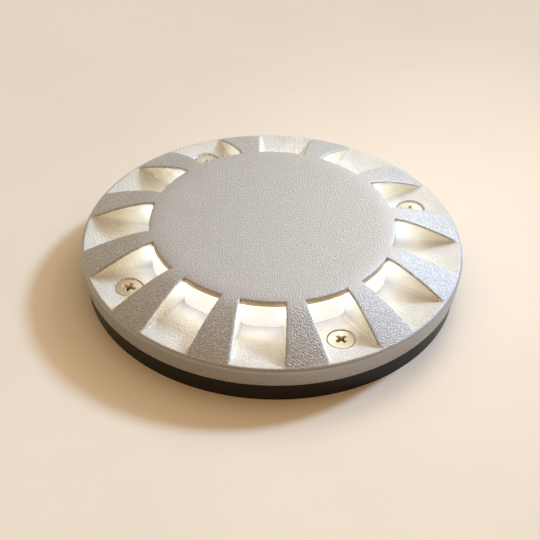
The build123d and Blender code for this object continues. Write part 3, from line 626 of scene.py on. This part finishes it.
class CoverShape:
    """Heights and widths of the cast cover, all worked out from its settings and its node's box."""

    def __init__(self, s):
        self.s = s
        self.top = COVER_HIGH.z
        self.foot = COVER_LOW.z
        self.outer = COVER_HIGH.x
        self.pitch = TURN / s.window_count
        self.run = s.corner_radius - s.disc_radius
        self.floor_low = s.corner_height - s.floor_fall
        self.ledge = self.floor_low - s.floor_thickness
        self.lip = self.top - s.disc_thickness
        self.spread = (s.mouth_width - s.window_width) / 2 / self.run
        chord = hypot(self.run, self.top - s.corner_height)
        self.arc = (chord**2 / 4 + s.crown_rise**2) / (2 * s.crown_rise)
        lean = atan2(self.top - s.corner_height, self.run)
        back = self.arc - s.crown_rise
        self.arc_radius = (s.disc_radius + s.corner_radius) / 2 - back * sin(lean)
        self.arc_height = (self.top + s.corner_height) / 2 - back * cos(lean)
        self.flat_radius = s.disc_radius - 4 * s.blend - 1 * MM    # no roll-off reaches inside this

    def floor(self, along):
        """Height of a window's floor, this far out along its middle line."""
        return self.floor_low + self.s.floor_fall * (along - self.s.disc_radius) / self.run

    def crown(self, radius):
        """Height of the disc and the ribs, rolled off softly where they meet."""
        if radius < self.flat_radius:
            return self.top
        slope = self.arc_height + sqrt(self.arc**2 - (radius - self.arc_radius)**2)
        share = min(1.0, max(0.0, 0.5 + 0.5 * (slope - self.top) / self.s.blend))
        return slope + (self.top - slope) * share - self.s.blend * share * (1 - share)

    def wall(self, radius, offset):
        """Where a circle meets a window's wall line, moved out by the offset: (along, across)."""
        b = self.spread
        a = self.s.window_width / 2 - b * self.s.disc_radius + offset
        along = (-a * b + sqrt((a * b) ** 2 - (1 + b * b) * (a * a - radius * radius))) / (1 + b * b)
        return along, a + b * along

    def section(self, radius):
        """A cut round the cover at a radius, from a window's middle to a rib's: a list of (angle, height)."""
        s = self.s
        along, _ = self.wall(radius, 0)
        floor = self.floor(along)
        top = self.crown(radius)
        height = max(0.0, top - floor)
        scale = min(1.0, height / (s.fillet + s.edge_round))
        widen = FEATHER_WIDTH * (1 - min(1.0, height / FEATHER_HEIGHT))
        lean = height * tan(s.draft) + widen
        points = []

        def add(offset, z):
            u, v = self.wall(radius, offset)
            points.append((atan2(v, u), z))

        _, edge = self.wall(radius, -s.fillet)
        for k in range(FLOOR_COLUMNS):
            v = edge * k / FLOOR_COLUMNS
            points.append((asin(v / radius), self.floor(sqrt(radius**2 - v**2))))
        for k in range(FILLET_COLUMNS):
            a = pi / 2 * k / FILLET_COLUMNS
            add(s.fillet * (sin(a) - 1), floor + s.fillet * scale * (1 - cos(a)))
        straight = height - scale * (s.fillet + s.edge_round)
        for share in self.wall_shares():
            add(lean * share, floor + scale * s.fillet + straight * share)
        for k in range(1, ROUND_COLUMNS + 1):
            a = pi / 2 * k / ROUND_COLUMNS
            add(lean + s.edge_round * (1 - cos(a)), top - scale * s.edge_round * (1 - sin(a)))
        first = points[-1][0]
        for k in range(1, CROWN_COLUMNS + 1):
            points.append((first + (self.pitch / 2 - first) * k / CROWN_COLUMNS, top))
        return points

    def wall_shares(self):
        """Heights up the wall as shares of it; one of them meets the lip's underside beside the lens."""
        s = self.s
        low = self.floor(s.disc_radius) + s.fillet
        high = self.crown(s.disc_radius) - s.edge_round
        lip = (self.lip - low) / (high - low)
        return [lip * k / (WALL_COLUMNS - 1) for k in range(WALL_COLUMNS)] + [1.0]

    def corner(self, k):
        """Point k of the rounded edge where lip and wall meet: (radius, angle, height)."""
        s = self.s
        a = pi / 2 * k / ROUND_COLUMNS
        inwards = s.edge_round * (1 - cos(a))
        height = self.crown(s.disc_radius) - self.floor(s.disc_radius)
        _, across = self.wall(s.disc_radius, height * tan(s.draft))
        radius = s.disc_radius - inwards
        return radius, asin((across + inwards) / radius), self.crown(radius) - s.edge_round * (1 - sin(a))


def at(radius, angle, height):
    """The point at this radius and angle round the light's axis."""
    return radius * cos(angle), radius * sin(angle), height


def spread(first, last, count):
    """Angles spaced evenly after the first, up to the last."""
    return [first + (last - first) * k / count for k in range(1, count + 1)]


def slope_patch(shape, window_finish, top_finish):
    """Window floor, wall and half a rib, from the disc out to the rim's corner."""
    s = shape.s
    inner, outer = s.disc_radius, s.corner_radius
    first_round = FLOOR_COLUMNS + FILLET_COLUMNS + WALL_COLUMNS
    columns = first_round + ROUND_COLUMNS + CROWN_COLUMNS
    rows = []
    for j in range(SLOPE_ROWS + 1):
        t = j / SLOPE_ROWS
        crowded = EVEN_ROWS * t + (1 - EVEN_ROWS) * (1 - cos(pi * t)) / 2
        radius = inner + (outer - inner) * crowded
        rows.append([(radius, angle, height) for angle, height in shape.section(radius)])
    last, last_angle, _ = shape.corner(ROUND_COLUMNS)
    rows[0][first_round:] = [shape.corner(k) for k in range(ROUND_COLUMNS + 1)]
    crown = shape.crown(last)
    rows[0] += [(last, turn, crown) for turn in spread(last_angle, shape.pitch / 2, CROWN_COLUMNS)]
    piece = patch("slope", columns, SLOPE_ROWS, lambda j, i: at(*rows[j][i]), window_finish)
    piece.data.materials.append(top_finish)
    for face in piece.data.polygons:
        face.material_index = int(face.index % columns >= first_round)
    return piece, rows


def rim_profile(shape):
    """From the rim's top corner down its side, round its foot and in to the lens: (radius, height) points."""
    s = shape.s
    width = shape.outer - s.corner_radius
    bend, side_top = s.corner_height - CORNER_BEND * width, s.corner_height - CORNER_END * width
    foot, side_foot = shape.outer - RIM_INSET, shape.foot + FOOT_ROUND
    profile = []
    for k in range(1, CORNER_ROWS + 1):
        t = k / CORNER_ROWS
        start_share, bend_share, end_share = (1 - t) ** 2, 2 * t * (1 - t), t * t
        profile.append((
            s.corner_radius * start_share + shape.outer * (bend_share + end_share),
            s.corner_height * start_share + bend * bend_share + side_top * end_share))
    for k in range(1, SIDE_ROWS + 1):
        t = k / SIDE_ROWS
        profile.append((shape.outer - RIM_INSET * t, side_top + (side_foot - side_top) * t))
    for k in range(1, ROUND_COLUMNS + 1):
        a = pi / 2 * k / ROUND_COLUMNS
        profile.append((foot - FOOT_ROUND * (1 - cos(a)), side_foot - FOOT_ROUND * sin(a)))
    skirt = foot - SKIRT_WALL
    profile += [(skirt, shape.foot), (skirt, shape.ledge)]
    for k in range(1, UNDER_RIM_ROWS + 1):
        profile.append((skirt + (s.disc_radius - skirt) * k / UNDER_RIM_ROWS, shape.ledge))
    return profile


def rim_patch(shape, rows, finish):
    """Rim corner, side, foot and the hollow underside, back in to the ring under the windows."""
    profile = rim_profile(shape)
    outer_angles = [angle for _, angle, _ in rows[-1]]
    inner_angles = ring_angles(shape, rows)
    first = len(profile) - UNDER_RIM_ROWS

    def where(j, i):
        if j == 0:
            return at(*rows[-1][i])
        radius, height = profile[j - 1]
        share = max(0, j - first) / UNDER_RIM_ROWS
        return at(radius, outer_angles[i] + (inner_angles[i] - outer_angles[i]) * share, height)

    return patch("rim", len(outer_angles) - 1, len(profile), where, finish)


def ring_angles(shape, rows):
    """Angles round the ring under the windows: those of the floor, then evenly on to the rib's middle."""
    fixed = FLOOR_COLUMNS + FILLET_COLUMNS + 1
    angles = [angle for _, angle, _ in rows[0][:fixed]]
    return angles + spread(angles[-1], shape.pitch / 2, len(rows[0]) - fixed)


def rib_end_patches(shape, rows, finish):
    """Faces round the lens, under the lip: the ledge's edge and the end of half a rib."""
    radius = shape.s.disc_radius
    fixed = FLOOR_COLUMNS + FILLET_COLUMNS
    ring = ring_angles(shape, rows)
    count = len(ring) - 1 - fixed
    stations = [(ring[fixed], shape.ledge)]
    stations += [(angle, height) for _, angle, height in rows[0][fixed:fixed + WALL_COLUMNS]]

    def ledge_edge(j, i):
        return at(*rows[0][i]) if j else at(radius, ring[i], shape.ledge)

    def rib_end(j, i):
        angle, height = stations[j]
        return at(radius, angle + (shape.pitch / 2 - angle) * i / count, height)

    return [
        patch("ledge_edge", fixed, 1, ledge_edge, finish),
        patch("rib_end", count, WALL_COLUMNS, rib_end, finish),
    ]


def disc_patches(shape, rows, finish):
    """The lip over half a window, and that share of the disc's top and underside."""
    radius = shape.s.disc_radius
    first_lip = FLOOR_COLUMNS + FILLET_COLUMNS + WALL_COLUMNS - 1
    lip = rows[0][first_lip:first_lip + 2]
    edge, edge_angle, _ = shape.corner(ROUND_COLUMNS)
    _, rib_angle, _ = lip[0]
    rib_columns = ROUND_COLUMNS + CROWN_COLUMNS + WALL_COLUMNS
    over = [0, *spread(0, edge_angle, LIP_COLUMNS), *spread(edge_angle, shape.pitch / 2, CROWN_COLUMNS)]
    under = [0, *spread(0, rib_angle, LIP_COLUMNS), *spread(rib_angle, shape.pitch / 2, rib_columns)]

    def lip_face(j, i):
        _, angle, height = lip[j]
        return at(radius, angle * i / LIP_COLUMNS, height)

    def lip_round(j, i):
        corner_radius, angle, height = shape.corner(j)
        return at(corner_radius, angle * i / LIP_COLUMNS, height)

    def disc(j, i):
        disc_radius = edge * (1 - j / DISC_ROWS)
        return at(disc_radius, over[i], shape.crown(disc_radius))

    def underside(j, i):
        return at(radius * (1 - j / UNDER_DISC_ROWS), under[i], shape.lip)

    return [
        patch("lip_face", LIP_COLUMNS, 1, lip_face, finish),
        patch("lip_round", LIP_COLUMNS, ROUND_COLUMNS, lip_round, finish),
        patch("disc_top", len(over) - 1, DISC_ROWS, disc, finish),
        patch("disc_under", len(under) - 1, UNDER_DISC_ROWS, underside, finish),
    ]


def screw_places(settings):
    """Angle and centre of each screw, in every third window, the first one beside the front window."""
    places = []
    for n in range(SCREW_COUNT):
        angle = -pi / 2 + TURN / settings.window_count * (1 + SCREW_EVERY * n)
        places.append((angle, (settings.screw_ring * cos(angle), settings.screw_ring * sin(angle))))
    return places


def at_screws(name, outline, steps, settings, finish):
    """One turned body at each screw, as one piece."""
    return join(name, [turned(name, outline, steps, finish, centre) for _, centre in screw_places(settings)])


def screw_seats(shape, finish):
    """Cutter for the countersunk seats."""
    low, top = shape.foot - CUT_PAST, SCREWS_HIGH.z
    outline = [
        (0, low),
        (SEAT_HOLE, low),
        (SEAT_HOLE, top - SEAT_STRAIGHT - (SEAT_RADIUS - SEAT_HOLE)),
        (SEAT_RADIUS, top - SEAT_STRAIGHT),
        (SEAT_RADIUS, top - SEAT_CHAMFER),
        (SEAT_RADIUS + SEAT_CHAMFER + CUT_PAST, top + CUT_PAST),
        (0, top + CUT_PAST),
    ]
    return at_screws("seats", outline, SEAT_STEPS, shape.s, finish)


def rib_cores(shape, finish):
    """Cutter for the hollow under each rib, its roof sloping with the rib."""
    def corner(x, y, z):
        radius = CORE_OUTER if x > 0 else CORE_INNER
        height = shape.crown(radius) - CORE_ROOF if z > 0 else shape.ledge - CUT_PAST
        return radius, CORE_HALF_WIDTH * y, height

    core = block("cores", corner, finish)
    with editing(core):
        bpy.ops.mesh.bevel(offset=CORE_ROUND, segments=2, affect="EDGES")
        bpy.ops.transform.rotate(value=-shape.pitch / 2, orient_axis="Z", center_override=(0, 0, 0))
    return copies_round(core, shape.s.window_count)


def screw_bosses(shape, finish):
    """The bosses under the screws, down to the housing's flange and up into the ledge."""
    low, high = shape.foot, shape.ledge + BOSS_SINK
    outline = [(0, low), (BOSS_RADIUS - BOSS_CHAMFER, low), (BOSS_RADIUS, low + BOSS_CHAMFER)]
    outline += [(BOSS_RADIUS, high), (0, high)]
    return at_screws("bosses", outline, BOSS_STEPS, shape.s, finish)


def cast_skin(piece, depth):
    """Lets the finished casting stray a little from its true shape."""
    lumps = bpy.data.textures.new("cast_lumps", "CLOUDS")
    lumps.noise_scale = SKIN_LUMPS
    apply_modifier(
        piece, "DISPLACE", texture=lumps, texture_coords="LOCAL", strength=depth, mid_level=0.5)
    bpy.data.textures.remove(lumps)


class WELLLIGHT_OT_cover(bpy.types.Operator):
    """Model the cast cover: disc, ribs, windows, rim, screw seats and hollow underside"""

    bl_idname = "welllight.cover"
    bl_label = "Cast cover"

    def execute(self, context):
        settings = context.scene.well_light_cover
        finishes = context.scene.well_light_finish
        shape = CoverShape(settings)
        top_finish = cast_aluminium(finishes, shape)
        window_finish = cast_window_painted_glow(finishes, shape)
        slope, rows = slope_patch(shape, window_finish, top_finish)
        rim = rim_patch(shape, rows, top_finish)
        rib_ends = rib_end_patches(shape, rows, window_finish)
        cover = join("cover_casting", [slope, rim, *rib_ends, *disc_patches(shape, rows, top_finish)])
        apply_modifier(cover, "MIRROR", use_axis=(False, True, False), merge_threshold=DOUBLES)
        close_up(copies_round(cover, settings.window_count))
        cut(cover, screw_bosses(shape, top_finish), "UNION")
        cut(cover, rib_cores(shape, top_finish))
        cast_skin(cover, settings.unevenness)
        cut(cover, screw_seats(shape, top_finish))
        smooth(cover)
        finished(cover, "cover", "cast_aluminium", "cover")
        return {"FINISHED"}


# ---------------------------------------------------------------- lens, screws, housing
def arc(centre, radius, first, last, count):
    """Points of an arc in an outline, from angle to angle in degrees."""
    turns = [radians(first + (last - first) * k / count) for k in range(count + 1)]
    return [(centre[0] + radius * cos(a), centre[1] + radius * sin(a)) for a in turns]


LENS_RADIUS = 44.6 * MM
LENS_WALL = 2.5 * MM
LENS_ROUND = 1.2 * MM
LENS_FLANGE = 2.7 * MM         # thickness of the flange round its foot
LENS_ROOT = 0.5 * MM           # hollow between wall and flange
LENS_EDGE = 0.3 * MM


class WELLLIGHT_OT_lens(bpy.types.Operator):
    """Model the frosted cup under the disc"""

    bl_idname = "welllight.lens"
    bl_label = "Frosted lens"

    def execute(self, context):
        finish = frosted_lens(context.scene.well_light_finish)
        low, high, roof = LENS_LOW.z, LENS_HIGH.z, LENS_HIGH.z - LENS_WALL
        flange_top, edge = low + LENS_FLANGE, LENS_HIGH.x - LENS_EDGE
        inner = LENS_RADIUS - LENS_WALL
        outline = [(0, roof), (0, high)]
        outline += arc((LENS_RADIUS - LENS_ROUND, high - LENS_ROUND), LENS_ROUND, 90, 0, 6)
        outline += arc((LENS_RADIUS + LENS_ROOT, flange_top + LENS_ROOT), LENS_ROOT, 180, 270, 4)
        outline += arc((edge, flange_top - LENS_EDGE), LENS_EDGE, 90, 0, 3)
        outline += arc((edge, low + LENS_EDGE), LENS_EDGE, 0, -90, 3)
        outline += [(inner, low)]
        outline += arc((inner - LENS_ROUND, roof - LENS_ROUND), LENS_ROUND, 0, 90, 6)
        lens = turned("lens_cup", outline, LENS_STEPS, finish)
        smooth(lens)
        finished(lens, "lens", "frosted_lens", "lens")
        return {"FINISHED"}


HEAD_RADIUS = 4.9 * MM
HEAD_SINK = 0.15 * MM          # the head's rim below the top of its node's box
HEAD_EDGE = 0.3 * MM           # straight edge above the cone
HEAD_ROUND = 0.22 * MM
DOME_RADIUS = 3.9 * MM
DOME_RISE = 0.35 * MM
EDGE_BEVEL = 0.12 * MM         # on every edge sharper than BEVEL_ABOVE
BEVEL_ABOVE = radians(40)
THREAD_RADIUS = 2.5 * MM
THREAD_PITCH = 0.8 * MM
THREAD_START = 1.2 * MM        # below the cone
ROOT_RADIUS = 2.1 * MM
ROOT_SHARES = 0.35, 0.65       # where the root runs between two crests
TIP_RADIUS = 1.9 * MM
CROSS_REACH = 2.65 * MM
CROSS_WIDTH = 1.5 * MM
CROSS_DEPTH = 2.4 * MM
CROSS_FLOOR_WIDTH = 0.55       # at its bottom, as shares of its size at the top
CROSS_FLOOR_REACH = 0.3
FIRST_CROSS = radians(17)      # where the cross of the first screw stopped, and how the next ones follow
NEXT_CROSS = radians(38)


def cross_cutter(centre, turn, top, finish):
    """Tapered cross for a screw's head, made of two wings."""
    def corner(x, y, z):
        along, across = CROSS_REACH * x, CROSS_WIDTH / 2 * y
        if z > 0:
            return along, across, 0.5 * MM
        return along * CROSS_FLOOR_REACH, across * CROSS_FLOOR_WIDTH, -CROSS_DEPTH

    wings = []
    for quarter in (0, pi / 2):
        wing = block("wing", corner, finish)
        spin = Matrix.Rotation(turn + quarter, 4, "Z")
        wing.data.transform(Matrix.Translation((*centre, top)) @ spin)
        wings.append(wing)
    return cut(*wings, "UNION")


class WELLLIGHT_OT_cover_screws(bpy.types.Operator):
    """Model the four countersunk screws of the cover"""

    bl_idname = "welllight.cover_screws"
    bl_label = "Cover screws"

    def execute(self, context):
        settings = context.scene.well_light_cover
        finish = stainless(context.scene.well_light_finish)
        top = SCREWS_HIGH.z - HEAD_SINK
        outline = self.outline(top, SCREWS_LOW.z)
        screws = []
        for n, (angle, centre) in enumerate(screw_places(settings)):
            screw = turned(f"screw_{n}", outline, SCREW_STEPS, finish, centre)
            cut(screw, cross_cutter(centre, FIRST_CROSS + NEXT_CROSS * n + angle, top, finish))
            apply_modifier(
                screw, "BEVEL", width=EDGE_BEVEL, segments=2, limit_method="ANGLE", angle_limit=BEVEL_ABOVE)
            screws.append(screw)
        screws = join("cover_screw_set", screws)
        smooth(screws)
        finished(screws, "cover_screws", "stainless_screws", "cover_screws")
        return {"FINISHED"}

    def outline(self, top, tip):
        """Domed head, cone, thread as a row of rings, and tip: (radius, height) points."""
        shares = (0, 0.25, 0.5, 0.75, 1)
        outline = [(share * DOME_RADIUS, top + DOME_RISE * (1 - share**2)) for share in shares]
        outline += arc((HEAD_RADIUS - HEAD_ROUND, top - HEAD_ROUND), HEAD_ROUND, 90, 0, 4)
        cone_foot = top - HEAD_EDGE - (HEAD_RADIUS - THREAD_RADIUS)
        outline += [(HEAD_RADIUS, top - HEAD_EDGE), (THREAD_RADIUS, cone_foot)]
        z = cone_foot - THREAD_START
        while z > tip + 1.5 * THREAD_PITCH:
            outline.append((THREAD_RADIUS, z))
            outline += [(ROOT_RADIUS, z - THREAD_PITCH * share) for share in ROOT_SHARES]
            z -= THREAD_PITCH
        return outline + [(THREAD_RADIUS, z), (TIP_RADIUS, tip), (0, tip)]


class WELLLIGHT_OT_housing(bpy.types.Operator):
    """Finish the black buried housing"""

    bl_idname = "welllight.housing"
    bl_label = "Buried housing"

    def execute(self, context):
        finish = black_housing(context.scene.well_light_finish)
        housing = smooth_copy("housing", finish, "housing", "black_housing")
        apply_modifier(housing, "WEIGHTED_NORMAL", mode="FACE_AREA", weight=100, keep_sharp=True)
        return {"FINISHED"}


PLAIN_FINISHES = {
    "brass_inserts": ((0.72, 0.56, 0.27), 0.32, 1.0, drawn_lines),
    "silicone_seals": ((0.16, 0.16, 0.17), 0.7, 0.0, moulded_grain),
    "extruded_aluminium": ((0.74, 0.74, 0.75), 0.35, 1.0, drawn_lines),
    "heat_pad": ((0.42, 0.50, 0.58), 0.75, 0.0, moulded_grain),
    "white_solder_mask": ((0.86, 0.86, 0.84), 0.3, 0.0, printed_tracks),
    "lamp_chips": ((0.95, 0.82, 0.42), 0.4, 0.0, moulded_grain),
    "white_reflector": ((0.90, 0.90, 0.88), 0.3, 0.0, spun_lines),
    "zinc_screws": ((0.66, 0.67, 0.69), 0.3, 1.0, moulded_grain),
    "brass_standoffs": ((0.74, 0.60, 0.33), 0.3, 1.0, drawn_lines),
    "green_circuit_board": ((0.05, 0.27, 0.13), 0.35, 0.0, printed_tracks),
    "capacitor_sleeve": ((0.05, 0.06, 0.10), 0.35, 0.0, moulded_grain),
    "ferrite": ((0.11, 0.11, 0.115), 0.6, 0.0, moulded_grain),
    "copper_winding": ((0.72, 0.33, 0.16), 0.3, 1.0, wound_turns),
    "black_component": ((0.035, 0.035, 0.038), 0.5, 0.0, moulded_grain),
    "white_connector": ((0.82, 0.81, 0.76), 0.45, 0.0, moulded_grain),
    "lead_insulation": ((0.50, 0.04, 0.03), 0.4, 0.0, moulded_grain),
    "terminal_plastic": ((0.76, 0.76, 0.72), 0.5, 0.0, moulded_grain),
    "black_gland": ((0.03, 0.03, 0.034), 0.5, 0.0, moulded_grain),
    "gland_rubber": ((0.05, 0.05, 0.052), 0.75, 0.0, moulded_grain),
}


class WELLLIGHT_OT_inner_pieces(bpy.types.Operator):
    """Finish every other piece: seals, light engine, driver, wiring and gland"""

    bl_idname = "welllight.inner_pieces"
    bl_label = "Inner pieces"

    def execute(self, context):
        slots = {part["node"]: part["material_slot"] for part in frame["record"]["subparts"]}
        bodies = frame["record"]["behaviour"]["bodies"]
        made = {}
        for body, nodes in bodies.items():
            for node in nodes:
                slot = slots[node]
                if slot not in PLAIN_FINISHES:
                    continue
                if slot not in made:
                    made[slot] = plain_finish(slot, *PLAIN_FINISHES[slot])
                smooth_copy(node, made[slot], body, slot)
        return {"FINISHED"}


# ---------------------------------------------------------------- stage
FLANGE_REST = 2.5 * MM         # how much of the flange rests on the floor, round the hole


def floor_finish(settings):
    """Pale matt floor with a faint mottle."""
    finish = Finish("floor")
    mottle = finish.noise(60 * MM, detail=5.0, roughness=0.6)
    finish.set(
        Base_Color=finish.colour(mottle, shade(settings.floor, 0.95), shade(settings.floor, 1.05)),
        Roughness=0.75,
        Specular_IOR_Level=0.25,
    )
    finish.bump(finish.noise(2 * MM, detail=4.0), 0.04 * MM)
    return finish.material


def light_world(settings):
    """Soft light that runs from warm and dim in front to pale behind; the eye sees the pale backdrop."""
    world = bpy.data.worlds.new("studio")
    world.use_nodes = True
    sky = NodeTree(world.node_tree)
    sky.tree.nodes.clear()
    direction = sky.node("SeparateXYZ", {0: sky.node("TexCoord").outputs["Generated"]})
    depth = sky.node("MapRange", {"Value": direction.outputs["Y"], "From Min": -1})
    fill = sky.colour(depth.outputs[0], settings.fill_front, settings.fill_back)
    seen = sky.colour(sky.node("LightPath").outputs["Is Camera Ray"], fill, settings.backdrop)
    background = sky.node("Background", {"Color": seen})
    sky.node("OutputWorld", {"Surface": background.outputs[0]})
    bpy.context.scene.world = world


class WELLLIGHT_OT_stage(bpy.types.Operator):
    """Set out the floor, the lamps and the camera"""

    bl_idname = "welllight.stage"
    bl_label = "Floor, lamps and camera"

    def execute(self, context):
        settings = context.scene.well_light_stage
        self.floor(settings)
        light_world(settings)
        self.key_lamp(settings)
        self.side_lamp(settings)
        self.camera(settings)
        context.scene.view_settings.view_transform = "Standard"
        return {"FINISHED"}

    def floor(self, settings):
        """A wide ring that the flange rests on: the housing drops through its hole."""
        hole = HOUSING_HIGH.x - FLANGE_REST
        start()
        bpy.ops.mesh.primitive_circle_add(vertices=128, radius=settings.floor_size)
        floor = named("floor")
        scale = hole / settings.floor_size
        with editing(floor):
            bpy.ops.mesh.extrude_edges_move()
            bpy.ops.transform.resize(value=(scale, scale, 1), center_override=(0, 0, 0))
            bpy.ops.mesh.select_all(action="SELECT")
            bpy.ops.mesh.normals_make_consistent(inside=False)
        floor.data.materials.append(floor_finish(settings))

    def lamp(self, name, kind, colour, energy, azimuth, elevation, distance, aim=(0, 0, 0)):
        """A lamp at this distance from the point that it is aimed at."""
        data = bpy.data.lights.new(name, kind)
        data.energy = energy
        data.color = colour
        lamp = add_object(name, data)
        towards = Vector((cos(azimuth) * cos(elevation), sin(azimuth) * cos(elevation), sin(elevation)))
        lamp.location = Vector(aim) + towards * distance
        lamp.rotation_mode = "QUATERNION"
        lamp.rotation_quaternion = towards.to_track_quat("Z", "Y")
        return data

    def side_lamp(self, settings):
        data = self.lamp(
            "side", "AREA", settings.side, settings.side_power,
            settings.side_azimuth, settings.side_elevation, settings.side_distance, settings.side_aim)
        data.shape = "DISK"
        data.size = settings.side_size
        data.spread = settings.side_spread

    def key_lamp(self, settings):
        data = self.lamp(
            "key", "SUN", settings.key, settings.key_strength,
            settings.key_azimuth, settings.key_elevation, 1)
        data.angle = settings.key_spread

    def camera(self, settings):
        data = bpy.data.cameras.new("camera")
        data.sensor_fit = "HORIZONTAL"
        data.sensor_width = 36
        data.lens = settings.lens
        data.clip_start, data.clip_end = 10 * MM, 20
        camera = add_object("camera", data)
        a, e = settings.azimuth, settings.elevation
        back = Vector((sin(a) * cos(e), -cos(a) * cos(e), sin(e)))
        aim = Vector(settings.aim)
        level = back.to_track_quat("Z", "Y").to_matrix().to_4x4()
        roll = Matrix.Rotation(settings.roll, 4, "Z")
        camera.matrix_world = Matrix.Translation(aim + back * settings.distance) @ level @ roll
        bpy.context.scene.camera = camera


class WELLLIGHT_PT_sidebar(bpy.types.Panel):
    """Buttons for every group of pieces"""

    bl_label = "Well light"
    bl_idname = "WELLLIGHT_PT_sidebar"
    bl_space_type = "VIEW_3D"
    bl_region_type = "UI"
    bl_category = "Well Light"

    def draw(self, context):
        for operator in OPERATORS:
            self.layout.operator(operator.bl_idname)


OPERATORS = (
    WELLLIGHT_OT_cover,
    WELLLIGHT_OT_lens,
    WELLLIGHT_OT_cover_screws,
    WELLLIGHT_OT_housing,
    WELLLIGHT_OT_inner_pieces,
    WELLLIGHT_OT_stage,
)
CLASSES = (CoverSettings, FinishSettings, StageSettings, *OPERATORS, WELLLIGHT_PT_sidebar)


def register():
    for cls in CLASSES:
        bpy.utils.register_class(cls)
    bpy.types.Scene.well_light_cover = PointerProperty(type=CoverSettings)
    bpy.types.Scene.well_light_finish = PointerProperty(type=FinishSettings)
    bpy.types.Scene.well_light_stage = PointerProperty(type=StageSettings)


def unregister():
    del bpy.types.Scene.well_light_stage
    del bpy.types.Scene.well_light_finish
    del bpy.types.Scene.well_light_cover
    for cls in reversed(CLASSES):
        bpy.utils.unregister_class(cls)


def main():
    register()
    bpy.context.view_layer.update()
    for operator in OPERATORS:
        getattr(bpy.ops.welllight, operator.bl_idname.split(".")[1])()


if __name__ == "__main__":
    main()
